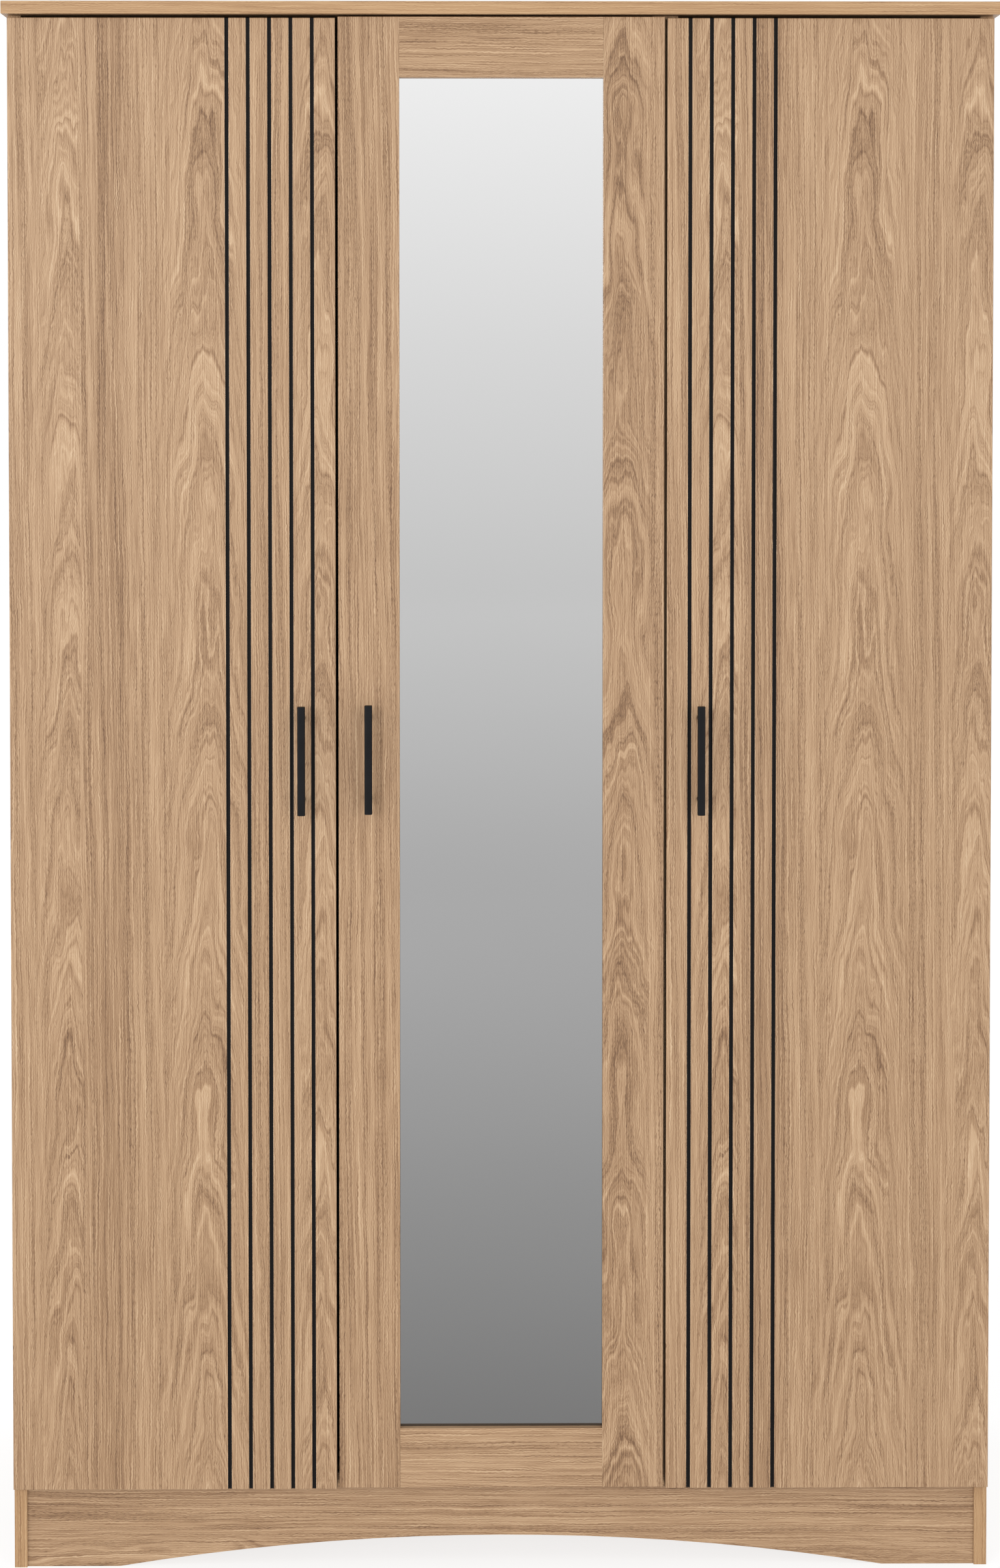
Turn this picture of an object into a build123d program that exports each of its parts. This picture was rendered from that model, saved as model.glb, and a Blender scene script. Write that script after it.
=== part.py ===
from build123d import *
import os

# A free-standing wardrobe with three hinged doors, the middle one mirrored.
# Millimetres: +X to the right, +Y to the back, +Z up. The origin is on the floor,
# below the centre of the bounding box.

# Driving dimensions of the case
HEIGHT = 1860.0
TOP_WIDTH = 1170.0
TOP_DEPTH = 500.0
BOARD = 15.0
BACK_BOARD = 3.0
TOP_SIDE_OVERHANG = 5.0
TOP_FRONT_OVERHANG = 5.0
BOTTOM_PANEL_Z = 98.0
PLINTH_SETBACK = 3.0
PLINTH_ARCH_HALF = 455.0
PLINTH_ARCH_RISE = 36.5
BRACE_BOTTOM = 45.0
HAT_SHELF_Z = 1520.0
HAT_SHELF_FRONT = -140.0
SHELF_FRONT = -190.0
SHELF_BOTTOMS = (445.0, 775.0, 1105.0, 1455.0)
SHELF_PLAY = 0.5
BATTEN_DEPTH = 70.0

# Driving dimensions of the doors
DOOR_BOTTOM = 100.0
DOOR_HEIGHT = 1741.0
DOOR_GAP = 3.0
DOOR_REVEAL = 1.5
DOOR_STANDOFF = 2.5
MIDDLE_DOOR_LIFT = 1.5
EDGE_ROUND = 1.0
GROOVE_WIDTH = 4.0
GROOVE_DEPTH = 3.0
GROOVE_PITCH = 25.0
FIRST_GROOVE = 27.0
GROOVE_COUNT = 5
STILE_WIDTH = 72.0
RAIL_HEIGHT = 71.0
RAIL_PLAY = 0.1
REBATE_WIDTH = 10.0
MIRROR_RECESS = 8.0
MIRROR_THICKNESS = 4.0
MIRROR_PLAY = 0.5

# Handles
HANDLE_LENGTH = 128.0
HANDLE_WIDTH = 9.0
HANDLE_REACH = 28.0
HANDLE_ROUND = 2.4
HANDLE_END_ROUND = 0.8
POST_SPACING = 96.0
POST_RADIUS = 3.8
SLAT_HANDLE_INSET = 39.5
HANDLE_SCREW_RADIUS = 2.0
HANDLE_SCREW_GRIP = 8.0
HANDLE_SCREW_HEAD_RADIUS = 4.0
HANDLE_SCREW_HEAD_HEIGHT = 2.2

# Concealed hinges. A section point is (inwards from the door's hinge edge,
# back from the door's front face).
HINGE_HEIGHTS = (190.0, 700.0, 1230.0, 1751.0)
ARM_PIVOT = (34.0, 19.0)
CUP_PIVOT = (12.0, 12.0)
LINK_BULGE = 6.0
LINK_THICKNESS = 2.6
LINK_KNUCKLE = 2.8
LINK_HALF_WIDTH = 6.2
PIN_RADIUS = 1.5
PIN_PLAY = 0.06
CHEEK_INNER = 6.6
CHEEK_OUTER = 8.6
ARM_KNUCKLE = 3.2
ARM_REAR = 78.0
ARM_HEIGHT = 9.5
ARM_SCREW_DEPTH = 66.0
ARM_SCREW_RADIUS = 2.0
ARM_SCREW_HEAD = 1.8
CUP_CENTRE = 22.5
CUP_RADIUS = 17.5
CUP_DEPTH = 11.5
CUP_WALL = 1.0
LUG_RADIUS = 2.8
EAR_SCREW_OFFSET = 24.0
EAR_WIDTH = 18.0
EAR_THICKNESS = 1.0
EAR_END = 7.0
PLATE_THICKNESS = 3.0
PLATE_TONGUE = (40.0, 82.0)
PLATE_WING = (46.0, 63.0)
PLATE_WING_END = 8.0
PLATE_SCREW_DEPTH = 54.5
PLATE_SCREW_OFFSET = 16.0

# Fasteners and fittings
SCREW_RADIUS = 1.9
SCREW_LENGTH = 11.0
SCREW_HEAD_RADIUS = 3.6
SCREW_HEAD_HEIGHT = 1.6
DOWEL_RADIUS = 4.0
DOWEL_IN_EDGE = 19.0
DOWEL_IN_FACE = 10.5
CAM_RADIUS = 7.5
CAM_DEPTH = 12.0
CAM_REACH = 34.0
CAM_BOLT_RADIUS = 3.0
CAM_THREAD_RADIUS = 2.5
CAM_THREAD_LENGTH = 11.0
SHELF_PIN_RADIUS = 2.5
SHELF_PIN_DEPTH = 8.0
SHELF_PIN_STEP = 32.0
RAIL_Y = 20.0
RAIL_Z = 1470.0
RAIL_RADIUS = 12.5
RAIL_WALL = 1.2
SOCKET_FLANGE = 26.0
SOCKET_THICKNESS = 3.0
SOCKET_LENGTH = 14.0
SOCKET_SCREW_OFFSET = 20.5
BRACKET_X = 400.0
BRACKET_WIDTH = 30.0
BRACKET_LEG = 30.0
BRACKET_SHEET = 2.0
BRACKET_SCREW_DEPTH = 19.0
BRACKET_SCREW_OFFSET = 8.0
WALL_HOLE_RADIUS = 3.0
WALL_HOLE_Z = 1827.0
NAIL_RADIUS = 0.9
NAIL_LENGTH = 15.0
NAIL_HEAD_RADIUS = 2.0
NAIL_HEAD = 0.8
NAIL_LOW = 160.0
NAIL_PITCH = 270.0
NAIL_COUNT = 7
JOINER_FLANGE_HALF = 10.0
JOINER_FLANGE_THICKNESS = 1.2
JOINER_WEB_HALF = 1.0
FRAME_DOWEL_RADIUS = 3.0
FRAME_DOWEL_LENGTH = 40.0
FRAME_DOWEL_RISES = (14.0, 46.0)
BUMPER_RADIUS = 4.0
BUMPER_HEIGHT = 1.8
FIT = 0.1

# Planes worked out from them
BACK = (TOP_DEPTH + HANDLE_REACH - TOP_FRONT_OVERHANG) / 2
TOP_FRONT = BACK - TOP_DEPTH
DOOR_FACE = TOP_FRONT + TOP_FRONT_OVERHANG
DOOR_REAR = DOOR_FACE + BOARD
CASE_FRONT = DOOR_REAR + DOOR_STANDOFF
CASE_BACK = BACK - BACK_BOARD
SIDE_OUT = TOP_WIDTH / 2 - TOP_SIDE_OVERHANG
SIDE_IN = SIDE_OUT - BOARD
CASE_TOP = HEIGHT - BOARD
FLOOR_TOP = BOTTOM_PANEL_Z + BOARD
DOORS_HALF = SIDE_OUT - DOOR_REVEAL
DOOR_WIDTH = (2 * DOORS_HALF - 2 * DOOR_GAP) / 3
MIDDLE_HALF = DOOR_WIDTH / 2
HINGE_FACE = BOARD - DOOR_REVEAL
PLATE_FACE = HINGE_FACE + PLATE_THICKNESS
BATTEN_LEFT = MIDDLE_HALF - HINGE_FACE
PARTITION_LEFT = BATTEN_LEFT + BOARD
PARTITION_RIGHT = PARTITION_LEFT + BOARD
DOOR_TOP = DOOR_BOTTOM + DOOR_HEIGHT
HANDLE_Z = DOOR_BOTTOM + DOOR_HEIGHT / 2
JOINER_X = -MIDDLE_HALF

X = Vector(1, 0, 0)
Y = Vector(0, 1, 0)
Z = Vector(0, 0, 1)

cuts = {}
loose = {}


def block(x, y, z):
    """A box between (low, high) pairs along the three axes."""
    spans = (x, y, z)
    centre = [(low + high) / 2 for low, high in spans]
    size = [high - low for low, high in spans]
    return Pos(*centre) * Box(*size)


def bar(start, direction, length, radius):
    """A round bar from a point along a direction."""
    return Solid.make_cylinder(radius, length, Plane(origin=start, z_dir=direction))


def drill(board, *tools):
    """Remember holes to cut in a board."""
    cuts.setdefault(board, []).extend(tools)


def add(node, *solids):
    """Add separate solids to a node that is a group of equal pieces."""
    loose.setdefault(node, []).extend(solids)


def finished(name, board):
    """A board with its holes cut."""
    tools = cuts.get(name, [])
    return board.cut(*tools) if tools else board


# Fasteners. Each one also drills the boards that it goes into.


def screw_shape():
    """A pan-head screw along +Z, with the underside of its head at 0."""
    head = Pos(0, 0, -SCREW_HEAD_HEIGHT / 2) * Cylinder(SCREW_HEAD_RADIUS, SCREW_HEAD_HEIGHT)
    head = fillet(head.edges().group_by(Axis.Z)[0], 0.7)
    slot = Pos(0, 0, -SCREW_HEAD_HEIGHT) * (Box(4.0, 0.9, 1.6) + Box(0.9, 4.0, 1.6))
    shank = Pos(0, 0, SCREW_LENGTH / 2) * Cylinder(SCREW_RADIUS, SCREW_LENGTH)
    return (head - slot + shank).solid()


SCREW = screw_shape()


def screw(node, seat, into, *boards, sunk=False):
    """A screw with its head on a surface, or sunk flush with it."""
    under_head = seat + into * SCREW_HEAD_HEIGHT if sunk else seat
    add(node, Plane(origin=under_head, z_dir=into).location * SCREW)
    for board in boards:
        drill(board, bar(under_head, into, SCREW_LENGTH + FIT, SCREW_RADIUS + FIT / 2))
    if sunk:
        drill(boards[0], bar(seat, into, SCREW_HEAD_HEIGHT, SCREW_HEAD_RADIUS + FIT))


def dowel(node, edge, along, housing, anchor):
    """A wooden dowel across the joint between one board's edge and another's face."""
    start = edge - along * DOWEL_IN_EDGE
    length = DOWEL_IN_EDGE + DOWEL_IN_FACE
    add(node, bar(start, along, length, DOWEL_RADIUS))
    hole = bar(start - along * FIT, along, length + 2 * FIT, DOWEL_RADIUS + FIT)
    drill(housing, hole)
    drill(anchor, hole)


def cam_joint(mouth, into, along, housing, anchor):
    """A cam lock in one board and the bolt that it pulls out of the next board."""
    middle = mouth + into * (BOARD / 2)
    seat = middle + along * CAM_REACH
    disc = bar(mouth, into, CAM_DEPTH, CAM_RADIUS)
    way = bar(middle - along * (CAM_BOLT_RADIUS + FIT), along, CAM_REACH, CAM_BOLT_RADIUS + 0.3)
    driver = bar(mouth, into, 2.0, 2.2)
    add("cam_locks", disc.cut(way, driver).solid())
    shank = bar(middle, along, CAM_REACH, CAM_BOLT_RADIUS)
    thread = bar(seat, along, CAM_THREAD_LENGTH, CAM_THREAD_RADIUS)
    add("cam_bolts", (shank + thread).solid())
    cam_hole = bar(mouth, into, CAM_DEPTH + FIT, CAM_RADIUS + FIT)
    shank_hole = bar(middle, along, CAM_REACH, CAM_BOLT_RADIUS + 0.3)
    drill(housing, cam_hole, shank_hole)
    drill(anchor, bar(seat, along, CAM_THREAD_LENGTH + FIT, CAM_THREAD_RADIUS + FIT / 2))


def case_joints():
    """Cams and dowels that hold the case together."""
    uprights = (
        ("left_side_panel", -SIDE_IN, -X),
        ("centre_partition", PARTITION_RIGHT, -X),
        ("right_side_panel", SIDE_IN, X),
    )
    for board, face, into in uprights:
        middle = face + into.X * BOARD / 2
        for y in (-100.0, 150.0):
            cam_joint(Vector(face, y, CASE_TOP - CAM_REACH), into, Z, board, "top_board")
        for y in (-150.0, 210.0):
            dowel("wooden_dowels", Vector(middle, y, CASE_TOP), Z, board, "top_board")
    for y in (-120.0, 160.0):
        low = Vector(PARTITION_RIGHT, y, FLOOR_TOP + CAM_REACH)
        cam_joint(low, -X, -Z, "centre_partition", "bottom_panel")
        foot = Vector(PARTITION_RIGHT - BOARD / 2, y + 60.0, FLOOR_TOP)
        dowel("wooden_dowels", foot, -Z, "centre_partition", "bottom_panel")
    for sign, side in ((-1, "left_side_panel"), (1, "right_side_panel")):
        for y in (-120.0, 160.0):
            mouth = Vector(sign * (SIDE_IN - CAM_REACH), y, BOTTOM_PANEL_Z)
            cam_joint(mouth, Z, X * sign, "bottom_panel", side)
            edge = Vector(sign * SIDE_IN, y + 50.0, BOTTOM_PANEL_Z + BOARD / 2)
            dowel("wooden_dowels", edge, X * sign, "bottom_panel", side)
        for board, y in (("plinth_front", plinth_middle(1)), ("plinth_rear", plinth_middle(-1))):
            for z in (30.0, 75.0):
                dowel("wooden_dowels", Vector(sign * SIDE_IN, y, z), X * sign, board, side)
    for y in (-80.0, 180.0):
        left = Vector(-SIDE_IN + CAM_REACH, y, HAT_SHELF_Z)
        cam_joint(left, Z, -X, "hat_shelf", "left_side_panel")
        right = Vector(PARTITION_LEFT - CAM_REACH, y, HAT_SHELF_Z)
        cam_joint(right, Z, X, "hat_shelf", "centre_partition")


def plinth_middle(end):
    """The middle plane of the front (1) or rear (-1) plinth board."""
    if end > 0:
        return CASE_FRONT + PLINTH_SETBACK + BOARD / 2
    return CASE_BACK - PLINTH_SETBACK - BOARD / 2


# Case boards


def make_top_board():
    board = block((-TOP_WIDTH / 2, TOP_WIDTH / 2), (TOP_FRONT, BACK), (CASE_TOP, HEIGHT))
    return fillet(board.edges(), 0.6)


def make_side_panel(sign):
    low, high = sorted((sign * SIDE_IN, sign * SIDE_OUT))
    return block((low, high), (CASE_FRONT, CASE_BACK), (0, CASE_TOP))


def make_plinth_front():
    """The front plinth board, with a shallow arch cut out of its lower edge."""
    middle = plinth_middle(1)
    board = block((-SIDE_IN, SIDE_IN), (middle - BOARD / 2, middle + BOARD / 2), (0, BOTTOM_PANEL_Z))
    radius = (PLINTH_ARCH_HALF**2 + PLINTH_ARCH_RISE**2) / (2 * PLINTH_ARCH_RISE)
    centre = Vector(0, middle - BOARD, PLINTH_ARCH_RISE - radius)
    return board - bar(centre, Y, 2 * BOARD, radius)


def make_brace():
    front = plinth_middle(1) + BOARD / 2
    rear = plinth_middle(-1) - BOARD / 2
    return block((-BOARD / 2, BOARD / 2), (front, rear), (BRACE_BOTTOM, BOTTOM_PANEL_Z))


def case_boards():
    """Every board of the case by its node's name, without holes."""
    width = (-SIDE_IN, SIDE_IN)
    depth = (CASE_FRONT, CASE_BACK)
    inner_height = (FLOOR_TOP, CASE_TOP)
    rear = plinth_middle(-1)
    boards = {
        "top_board": make_top_board(),
        "left_side_panel": make_side_panel(-1),
        "right_side_panel": make_side_panel(1),
        "bottom_panel": block(width, depth, (BOTTOM_PANEL_Z, FLOOR_TOP)),
        "centre_partition": block((PARTITION_LEFT, PARTITION_RIGHT), depth, inner_height),
        "partition_hinge_batten": block(
            (BATTEN_LEFT, PARTITION_LEFT), (CASE_FRONT, CASE_FRONT + BATTEN_DEPTH), inner_height
        ),
        "plinth_front": make_plinth_front(),
        "plinth_rear": block(width, (rear - BOARD / 2, rear + BOARD / 2), (0, BOTTOM_PANEL_Z)),
        "plinth_centre_brace": make_brace(),
        "hat_shelf": block(
            (-SIDE_IN, PARTITION_LEFT), (HAT_SHELF_FRONT, CASE_BACK), (HAT_SHELF_Z, HAT_SHELF_Z + BOARD)
        ),
    }
    for number, z in enumerate(SHELF_BOTTOMS, 1):
        span = (PARTITION_RIGHT + SHELF_PLAY, SIDE_IN - SHELF_PLAY)
        boards[f"right_shelf_{number}"] = block(span, (SHELF_FRONT, CASE_BACK - 1.0), (z, z + BOARD))
    return boards


def make_shelf_pins():
    """Pins under the shelves, in two rows of holes on each side of the bay."""
    sides = (
        ("centre_partition", PARTITION_RIGHT, X),
        ("right_side_panel", SIDE_IN, -X),
    )
    for board, face, out in sides:
        for y in (SHELF_FRONT + 40.0, CASE_BACK - 50.0):
            for z in SHELF_BOTTOMS:
                start = Vector(face, y, z - SHELF_PIN_RADIUS) - out * SHELF_PIN_DEPTH
                add("shelf_pins", bar(start, out, 2 * SHELF_PIN_DEPTH, SHELF_PIN_RADIUS))
                for step in (-SHELF_PIN_STEP, 0, SHELF_PIN_STEP):
                    hole = start + Z * step - out * FIT
                    drill(board, bar(hole, out, SHELF_PIN_DEPTH + FIT, SHELF_PIN_RADIUS + FIT / 2))


def make_rail():
    """The hanging rail, a thin tube between two wall sockets."""
    end = SOCKET_THICKNESS + 2 * FIT
    left = -SIDE_IN + end
    length = PARTITION_LEFT - end - left
    start = Vector(left, RAIL_Y, RAIL_Z)
    outer = bar(start, X, length, RAIL_RADIUS)
    return outer - bar(start, X, length, RAIL_RADIUS - RAIL_WALL)


def make_rail_sockets():
    ends = (("left_side_panel", -SIDE_IN, X), ("centre_partition", PARTITION_LEFT, -X))
    for board, face, out in ends:
        centre = Vector(face, RAIL_Y, RAIL_Z)
        flange = bar(centre, out, SOCKET_THICKNESS, SOCKET_FLANGE)
        collar = bar(centre, out, SOCKET_LENGTH, RAIL_RADIUS + SOCKET_THICKNESS)
        socket = flange + collar
        socket -= bar(centre + out * SOCKET_THICKNESS, out, SOCKET_LENGTH, RAIL_RADIUS + FIT)
        for off in (-SOCKET_SCREW_OFFSET, SOCKET_SCREW_OFFSET):
            hole = centre + Y * off
            socket -= bar(hole, out, SOCKET_THICKNESS, SCREW_RADIUS + FIT)
            screw("wood_screws", hole + out * SOCKET_THICKNESS, -out, board)
        add("rail_end_sockets", socket.solid())


def back_panel(name):
    """One of the three thin back panels, each in its own width."""
    edges = {
        "back_panel_left": (-SIDE_OUT + 2.0, JOINER_X - JOINER_WEB_HALF),
        "back_panel_middle": (JOINER_X + JOINER_WEB_HALF, PARTITION_LEFT + BOARD / 2 - 0.5),
        "back_panel_right": (PARTITION_LEFT + BOARD / 2 + 0.5, SIDE_OUT - 2.0),
    }
    return block(edges[name], (CASE_BACK, BACK), (BOTTOM_PANEL_Z, CASE_TOP))


def make_joiner():
    """The strip between two back panels, in two lengths around the hat shelf."""
    lengths = ((FLOOR_TOP, HAT_SHELF_Z), (HAT_SHELF_Z + BOARD, CASE_TOP))
    for low, high in lengths:
        flange_x = (JOINER_X - JOINER_FLANGE_HALF, JOINER_X + JOINER_FLANGE_HALF)
        web_x = (JOINER_X - JOINER_WEB_HALF, JOINER_X + JOINER_WEB_HALF)
        flange = block(flange_x, (CASE_BACK - JOINER_FLANGE_THICKNESS, CASE_BACK), (low, high))
        web = block(web_x, (CASE_BACK, BACK), (low, high))
        add("back_panel_joiner", (flange + web).solid())


def nail(x, z, panel, board):
    """A nail through a back panel, with its head flush with the panel."""
    start = Vector(x, BACK, z)
    head = bar(start, -Y, NAIL_HEAD, NAIL_HEAD_RADIUS)
    shank = bar(start, -Y, NAIL_LENGTH, NAIL_RADIUS)
    add("back_panel_nails", (head + shank).solid())
    drill(panel, head, shank)
    drill(board, shank)


def make_nails():
    upright = (
        ("back_panel_left", "left_side_panel", -SIDE_OUT + BOARD / 2),
        ("back_panel_middle", "centre_partition", PARTITION_LEFT + 3.6),
        ("back_panel_right", "centre_partition", PARTITION_RIGHT - 3.6),
        ("back_panel_right", "right_side_panel", SIDE_OUT - BOARD / 2),
    )
    for panel, board, x in upright:
        for step in range(NAIL_COUNT):
            nail(x, NAIL_LOW + NAIL_PITCH * step, panel, board)
    level = (
        ("back_panel_left", -480.0),
        ("back_panel_left", -290.0),
        ("back_panel_middle", -90.0),
        ("back_panel_middle", 100.0),
        ("back_panel_right", 300.0),
        ("back_panel_right", 470.0),
    )
    for panel, x in level:
        nail(x, BOTTOM_PANEL_Z + BOARD / 2, panel, "bottom_panel")
        if x < PARTITION_LEFT:
            nail(x, HAT_SHELF_Z + BOARD / 2, panel, "hat_shelf")


def make_wall_brackets():
    """Two angle brackets under the top board, for screws into the wall."""
    for x, panel in ((-BRACKET_X, "back_panel_left"), (BRACKET_X, "back_panel_right")):
        span = (x - BRACKET_WIDTH / 2, x + BRACKET_WIDTH / 2)
        level = block(span, (CASE_BACK - BRACKET_LEG, CASE_BACK), (CASE_TOP - BRACKET_SHEET, CASE_TOP))
        upright = block(span, (CASE_BACK - BRACKET_SHEET, CASE_BACK), (CASE_TOP - BRACKET_LEG, CASE_TOP))
        wall_hole = bar(Vector(x, BACK, WALL_HOLE_Z), -Y, 2 * BACK_BOARD, WALL_HOLE_RADIUS)
        under = CASE_TOP - BRACKET_SHEET
        bracket = level + upright - wall_hole
        for off in (-BRACKET_SCREW_OFFSET, BRACKET_SCREW_OFFSET):
            seat = Vector(x + off, CASE_BACK - BRACKET_SCREW_DEPTH, under)
            bracket -= bar(seat, Z, BRACKET_SHEET, SCREW_RADIUS + FIT)
            screw("wood_screws", seat, Z, "top_board")
        add("wall_brackets", bracket.solid())
        drill(panel, wall_hole)


def batten_screws():
    for z in (300.0, 560.0, 860.0, 1120.0, 1400.0, 1620.0):
        seat = Vector(BATTEN_LEFT + 6.0, CASE_FRONT + BATTEN_DEPTH / 2, z)
        screw("wood_screws", seat, X, "partition_hinge_batten", "centre_partition")
        drill("partition_hinge_batten", bar(seat, -X, 6.0, SCREW_HEAD_RADIUS + FIT))


def make_bumpers():
    """Soft pads that the doors' free corners close against."""
    low = BOTTOM_PANEL_Z + BOARD / 2 + 1.5
    spots = (
        (-MIDDLE_HALF - DOOR_GAP - 10.0, low),
        (-MIDDLE_HALF + 10.0, low),
        (PARTITION_LEFT + BOARD / 2, low),
        (PARTITION_LEFT + BOARD / 2, DOOR_TOP - 60.0),
    )
    for x, z in spots:
        add("door_bumpers", bar(Vector(x, CASE_FRONT, z), -Y, BUMPER_HEIGHT, BUMPER_RADIUS))


# Hinges


class Hinge:
    """Places hinge section points in space, for a hinge edge at x and a height."""

    def __init__(self, edge, inward, z):
        self.edge = edge
        self.inward = inward
        self.z = z

    def at(self, point, off=0.0):
        return Vector(self.edge + self.inward * point[0], DOOR_FACE + point[1], self.z + off)

    def slab(self, face, low, high):
        """A section face, drawn at height 0, made solid between two offsets from the hinge."""
        return extrude(Pos(0, 0, self.z + low) * face, high - low, dir=(0, 0, 1))

    def outline(self, points):
        """A straight-sided section face at height 0."""
        flat = [self.at(point, -self.z) for point in points]
        return make_face(Polyline(*flat, close=True))

    def strip(self, span):
        """The mounting plate's section between two depths."""
        low, high = span
        return self.outline([(HINGE_FACE, low), (PLATE_FACE, low), (PLATE_FACE, high), (HINGE_FACE, high)])

    def disc(self, point, radius):
        return Pos(*self.at(point, -self.z)) * Circle(radius)


def link_face(hinge):
    """The cranked link's section: a bent strip with a knuckle at each pivot."""
    arm, cup = Vector(*ARM_PIVOT), Vector(*CUP_PIVOT)
    chord = arm - cup
    out = Vector(chord.Y, -chord.X) / chord.length
    radius = (chord.length**2 / 4 + LINK_BULGE**2) / (2 * LINK_BULGE)
    crown = (arm + cup) / 2 + out * LINK_BULGE
    centre = crown - out * radius

    def shifted(point, off):
        spoke = (point - centre).normalized()
        moved = point + spoke * off
        return hinge.at((moved.X, moved.Y), -hinge.z)

    half = LINK_THICKNESS / 2
    outer = ThreePointArc(*[shifted(point, half) for point in (cup, crown, arm)])
    inner = ThreePointArc(*[shifted(point, -half) for point in (arm, crown, cup)])
    ends = (Line(outer @ 1, inner @ 0), Line(inner @ 1, outer @ 0))
    strip = make_face([outer, inner, *ends])
    return strip + hinge.disc(ARM_PIVOT, LINK_KNUCKLE) + hinge.disc(CUP_PIVOT, LINK_KNUCKLE)


def pivot_hole(hinge, pivot, play):
    reach = CHEEK_OUTER + 1.0
    return bar(hinge.at(pivot, -reach), Z, 2 * reach, PIN_RADIUS + play)


def make_link(hinge):
    link = hinge.slab(link_face(hinge), -LINK_HALF_WIDTH, LINK_HALF_WIDTH)
    return link.cut(pivot_hole(hinge, ARM_PIVOT, FIT / 5), pivot_hole(hinge, CUP_PIVOT, FIT / 5)).solid()


def make_arm(hinge):
    """The fixed arm: two cheeks joined by a web, reaching forward to the pivot."""
    u, w = ARM_PIVOT
    knuckle = ARM_KNUCKLE
    base = PLATE_FACE
    crown = base + ARM_HEIGHT
    side = hinge.outline(
        [
            (u - knuckle, w),
            (u - knuckle, w + 5.0),
            (base, 44.0),
            (base, ARM_REAR),
            (crown, ARM_REAR),
            (crown, 48.0),
            (u + knuckle, w + 10.0),
            (u + knuckle, w),
        ]
    )
    side = side + hinge.disc(ARM_PIVOT, knuckle)
    web = hinge.outline(
        [
            (u + 1.0, w + 5.5),
            (u + knuckle, w + 5.5),
            (u + knuckle, w + 10.0),
            (crown, 48.0),
            (crown, ARM_REAR),
            (crown - 2.0, ARM_REAR),
            (crown - 2.0, 47.0),
            (u + 1.0, w + 9.5),
        ]
    )
    arm = hinge.slab(side, CHEEK_INNER, CHEEK_OUTER)
    arm += hinge.slab(side, -CHEEK_OUTER, -CHEEK_INNER)
    arm += hinge.slab(web, -CHEEK_INNER, CHEEK_INNER)
    inward = X * hinge.inward
    hole = bar(hinge.at((crown - 3.0, ARM_SCREW_DEPTH)), inward, 5.0, ARM_SCREW_RADIUS + 2 * FIT)
    return arm.cut(pivot_hole(hinge, ARM_PIVOT, PIN_PLAY), hole).solid()


def arm_screw(hinge):
    """The machine screw that clamps the arm on its mounting plate."""
    inward = X * hinge.inward
    top = hinge.at((PLATE_FACE + ARM_HEIGHT, ARM_SCREW_DEPTH))
    shank = bar(top, -inward, ARM_HEIGHT + PLATE_THICKNESS - 0.5, ARM_SCREW_RADIUS)
    head = bar(top, inward, ARM_SCREW_HEAD, 1.7 * ARM_SCREW_RADIUS)
    slot = Plane(origin=top + inward * ARM_SCREW_HEAD, z_dir=inward).location * Box(0.9, 5.0, 1.6)
    return (head - slot + shank).solid()


def make_plate(hinge):
    """The mounting plate: a bar under the arm crossed by two screw wings."""
    wing_end = PLATE_SCREW_OFFSET + PLATE_WING_END
    plate = hinge.slab(hinge.strip(PLATE_TONGUE), -CHEEK_OUTER, CHEEK_OUTER)
    plate += hinge.slab(hinge.strip(PLATE_WING), -wing_end, wing_end)
    inward = X * hinge.inward
    threaded = hinge.at((HINGE_FACE, ARM_SCREW_DEPTH))
    plate -= bar(threaded, inward, PLATE_THICKNESS, ARM_SCREW_RADIUS + FIT / 5)
    for off in (-PLATE_SCREW_OFFSET, PLATE_SCREW_OFFSET):
        hole = hinge.at((HINGE_FACE, PLATE_SCREW_DEPTH), off)
        plate -= bar(hole, inward, PLATE_THICKNESS, SCREW_RADIUS + FIT)
    return plate.solid()


def make_cup(hinge):
    """The cup let into the door, with two lugs for the pin and two screw ears."""
    mouth = hinge.at((CUP_CENTRE, BOARD))
    inner = CUP_RADIUS - CUP_WALL
    shell = bar(mouth, -Y, CUP_DEPTH, CUP_RADIUS) - bar(mouth, -Y, CUP_DEPTH - CUP_WALL, inner)
    ear_middle = mouth + Y * (EAR_THICKNESS / 2)
    ears = Pos(*ear_middle) * Box(EAR_WIDTH, EAR_THICKNESS, 2 * (EAR_SCREW_OFFSET + EAR_END))
    ears = fillet(ears.edges().filter_by(Axis.Y), EAR_WIDTH / 3)
    ears -= bar(mouth, Y, EAR_THICKNESS, inner)
    for off in (-EAR_SCREW_OFFSET, EAR_SCREW_OFFSET):
        ears -= bar(mouth + Z * off, Y, EAR_THICKNESS, SCREW_RADIUS + FIT)
    u, w = CUP_PIVOT
    near, far = u - LUG_RADIUS, u + LUG_RADIUS
    floor = BOARD - CUP_DEPTH + CUP_WALL
    lug = hinge.outline([(near, floor), (far, floor), (far, w), (near, w)])
    lug = lug + hinge.disc(CUP_PIVOT, LUG_RADIUS)
    cup = shell + ears
    cup += hinge.slab(lug, CHEEK_INNER, CHEEK_OUTER)
    cup += hinge.slab(lug, -CHEEK_OUTER, -CHEEK_INNER)
    return cup.cut(pivot_hole(hinge, CUP_PIVOT, PIN_PLAY)).solid()


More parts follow.
